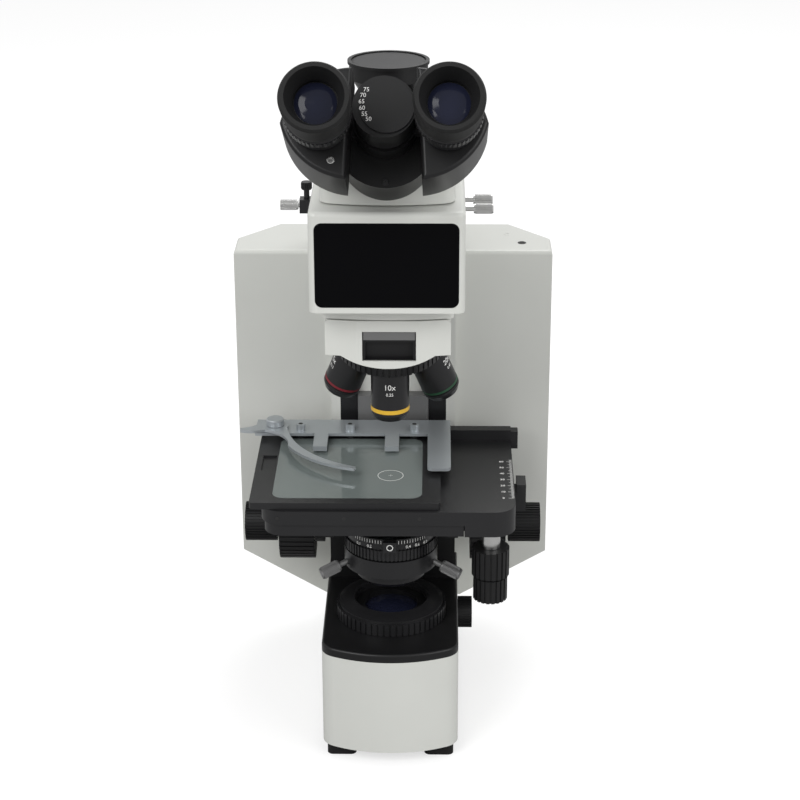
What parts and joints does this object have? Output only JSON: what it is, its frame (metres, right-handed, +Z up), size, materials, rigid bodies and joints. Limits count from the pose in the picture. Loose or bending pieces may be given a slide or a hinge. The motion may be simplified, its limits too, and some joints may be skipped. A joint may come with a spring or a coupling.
{
  "type": "metallurgical microscope",
  "caption": "Upright reflected-light microscope with rotating nosepiece, mechanical stage, condenser and folding binocular head.",
  "frame": {"origin": "centre of the footprint's bounding box on the table, below the working objective", "axes": "+Z up, -Y towards the person at the eyepieces, +X to their right"},
  "size_m": [0.2248, 0.3481, 0.5094],
  "materials": {
    "paint": "smooth satin paint, warm grey-white",
    "black_paint": "fine satin black paint",
    "black_plastic": "moulded, matte",
    "black_anodised": "black anodised",
    "rubber": "matte",
    "display": "gloss black",
    "satin_metal": "satin",
    "steel": "fine turned",
    "glass": "clear",
    "guide_metal": "satin grey"
  },
  "bodies": {
    "stand": {"base_casting": "paint", "base_deck": "black_paint", "feet": "rubber", "column": "paint", "focus_guides": "black_anodised", "focus_block": "black_paint", "rear_housing": "paint", "rear_cover": "paint", "rear_fittings": "black_plastic", "upper_arm": "paint", "nosepiece_arm": "paint", "nosepiece_mount": "black_anodised", "illuminator_housing": "paint", "display_panel": "display", "head_base": "paint", "tube_body": "black_paint", "interpupillary_dial": "black_plastic", "clamp_block": "black_anodised", "field_lens": "glass"},
    "mains_switch": {"switch_rocker": "black_plastic"},
    "arm_slider": {"slider": "black_plastic"},
    "nosepiece": {"turret": "black_anodised", "objective_10x": "black_anodised", "objective_5x": "black_anodised", "objective_100x": "black_anodised", "objective_50x": "black_anodised", "objective_20x": "black_anodised"},
    "left_tube": {"left_prism_housing": "black_paint", "left_eyepiece": "black_anodised", "left_eyecup": "rubber"},
    "right_tube": {"right_prism_housing": "black_paint", "right_eyepiece": "black_anodised", "right_eyecup": "rubber"},
    "left_dioptre": {"left_dioptre_ring": "black_anodised"},
    "right_dioptre": {"right_dioptre_ring": "black_anodised"},
    "port_cap": {"dust_cap": "black_plastic"},
    "front_rod": {"front_push_rod": "steel"},
    "back_rod": {"back_push_rod": "steel"},
    "side_rod": {"left_rod": "steel"},
    "rod_clamp": {"clamp_screw": "black_anodised"},
    "field_stop": {"field_ring": "black_anodised"},
    "lamp_dial": {"intensity_dial": "black_plastic"},
    "coarse_focus": {"coarse_knobs": "black_plastic"},
    "fine_focus": {"fine_knobs": "black_plastic"},
    "focus_stage": {"focus_carriage": "guide_metal", "stage_bracket": "black_paint", "stage_base": "black_anodised"},
    "stage_y": {"y_plate": "black_anodised"},
    "stage_x": {"x_plate": "black_anodised", "stage_glass": "glass", "specimen_holder": "satin_metal"},
    "clip": {"clip_lever": "satin_metal"},
    "y_drive": {"y_drive_knob": "black_plastic"},
    "x_drive": {"x_drive_knob": "black_plastic"},
    "condenser": {"condenser_body": "black_anodised", "condenser_carrier": "black_anodised", "condenser_lens": "glass", "centring_screws": "steel"},
    "aperture_stop": {"aperture_ring": "black_anodised"},
    "condenser_height": {"condenser_knob": "black_plastic"}
  },
  "joints": [
    {"name": "focus_slide", "type": "slide", "parent": "stand", "child": "focus_stage", "axis": [0, 0, 1], "range_m": [-0.004, 0.026]},
    {"name": "coarse_turn", "type": "hinge", "parent": "stand", "child": "coarse_focus", "pos_m": [0, 0.06, 0.126], "axis": [1, 0, 0], "range_deg": [-45, 265]},
    {"name": "fine_turn", "type": "hinge", "parent": "stand", "child": "fine_focus", "pos_m": [0, 0.06, 0.126], "axis": [1, 0, 0], "continuous": true},
    {"name": "stage_y_slide", "type": "slide", "parent": "focus_stage", "child": "stage_y", "axis": [0, 1, 0], "range_m": [-0.038, 0.004]},
    {"name": "stage_x_slide", "type": "slide", "parent": "stage_y", "child": "stage_x", "axis": [1, 0, 0], "range_m": [-0.01, 0.066]},
    {"name": "y_drive_turn", "type": "hinge", "parent": "stage_y", "child": "y_drive", "pos_m": [0.068, -0.025, 0.138], "axis": [0, 0, 1], "range_deg": [-370, 45]},
    {"name": "x_drive_turn", "type": "hinge", "parent": "stage_y", "child": "x_drive", "pos_m": [0.068, -0.025, 0.118], "axis": [0, 0, 1], "range_deg": [-95, 610]},
    {"name": "clip_swing", "type": "hinge", "parent": "stage_x", "child": "clip", "pos_m": [-0.0833, 0.07, 0.1956], "axis": [0, 0, 1], "range_deg": [-20, 6], "stiffness_Nm_per_rad": 0.05, "springref_deg": 5.73},
    {"name": "condenser_slide", "type": "slide", "parent": "focus_stage", "child": "condenser", "axis": [0, 0, 1], "range_m": [-0.012, 0.006]},
    {"name": "condenser_height_turn", "type": "hinge", "parent": "condenser", "child": "condenser_height", "pos_m": [-0.05, 0.0368, 0.131], "axis": [1, 0, 0], "continuous": true},
    {"name": "aperture_turn", "type": "hinge", "parent": "condenser", "child": "aperture_stop", "pos_m": [0, 0, 0.143], "axis": [0, 0, 1], "range_deg": [0, 60]},
    {"name": "nosepiece_turn", "type": "hinge", "parent": "stand", "child": "nosepiece", "pos_m": [0, 0, 0.332], "axis": [0, 0.3746, -0.9272], "continuous": true},
    {"name": "slider_pull", "type": "slide", "parent": "stand", "child": "arm_slider", "axis": [0, -1, 0], "range_m": [0, 0.03]},
    {"name": "left_fold", "type": "hinge", "parent": "stand", "child": "left_tube", "pos_m": [0, -0.0705, 0.44929], "axis": [0, -0.866, 0.5], "range_deg": [0, 26]},
    {"name": "right_fold", "type": "hinge", "parent": "stand", "child": "right_tube", "pos_m": [0, -0.0705, 0.44929], "axis": [0, -0.866, 0.5], "range_deg": [-26, 0]},
    {"name": "left_dioptre_turn", "type": "hinge", "parent": "left_tube", "child": "left_dioptre", "pos_m": [-0.0375, -0.11466, 0.4644], "axis": [0, -0.866, 0.5], "range_deg": [-60, 60]},
    {"name": "right_dioptre_turn", "type": "hinge", "parent": "right_tube", "child": "right_dioptre", "pos_m": [0.0375, -0.11466, 0.4644], "axis": [0, -0.866, 0.5], "range_deg": [-60, 60]},
    {"name": "cap_lift", "type": "slide", "parent": "stand", "child": "port_cap", "axis": [0, 0, 1], "range_m": [0, 0.04]},
    {"name": "front_rod_pull", "type": "slide", "parent": "stand", "child": "front_rod", "axis": [1, 0, 0], "range_m": [0, 0.01]},
    {"name": "back_rod_pull", "type": "slide", "parent": "stand", "child": "back_rod", "axis": [1, 0, 0], "range_m": [0, 0.01]},
    {"name": "side_rod_pull", "type": "slide", "parent": "stand", "child": "side_rod", "axis": [-1, 0, 0], "range_m": [0, 0.01]},
    {"name": "rod_clamp_turn", "type": "hinge", "parent": "stand", "child": "rod_clamp", "pos_m": [-0.053, -0.002, 0.39], "axis": [0, 0, 1], "continuous": true},
    {"name": "field_stop_turn", "type": "hinge", "parent": "stand", "child": "field_stop", "pos_m": [0, 0, 0.09], "axis": [0, 0, 1], "range_deg": [0, 90]},
    {"name": "lamp_dial_turn", "type": "hinge", "parent": "stand", "child": "lamp_dial", "pos_m": [0.05, 0.035, 0.0665], "axis": [1, 0, 0], "range_deg": [0, 270]},
    {"name": "switch_tilt", "type": "hinge", "parent": "stand", "child": "mains_switch", "pos_m": [0.03, 0.1725, 0.12], "axis": [1, 0, 0], "range_deg": [-6, 6]}
  ],
  "couplings": [
    {"joint": "coarse_turn", "follows": "focus_slide", "rad_per_m": 174.5},
    {"joint": "y_drive_turn", "follows": "stage_y_slide", "rad_per_m": 166.7},
    {"joint": "x_drive_turn", "follows": "stage_x_slide", "rad_per_m": 160},
    {"joint": "right_fold", "follows": "left_fold", "ratio": -1}
  ]
}
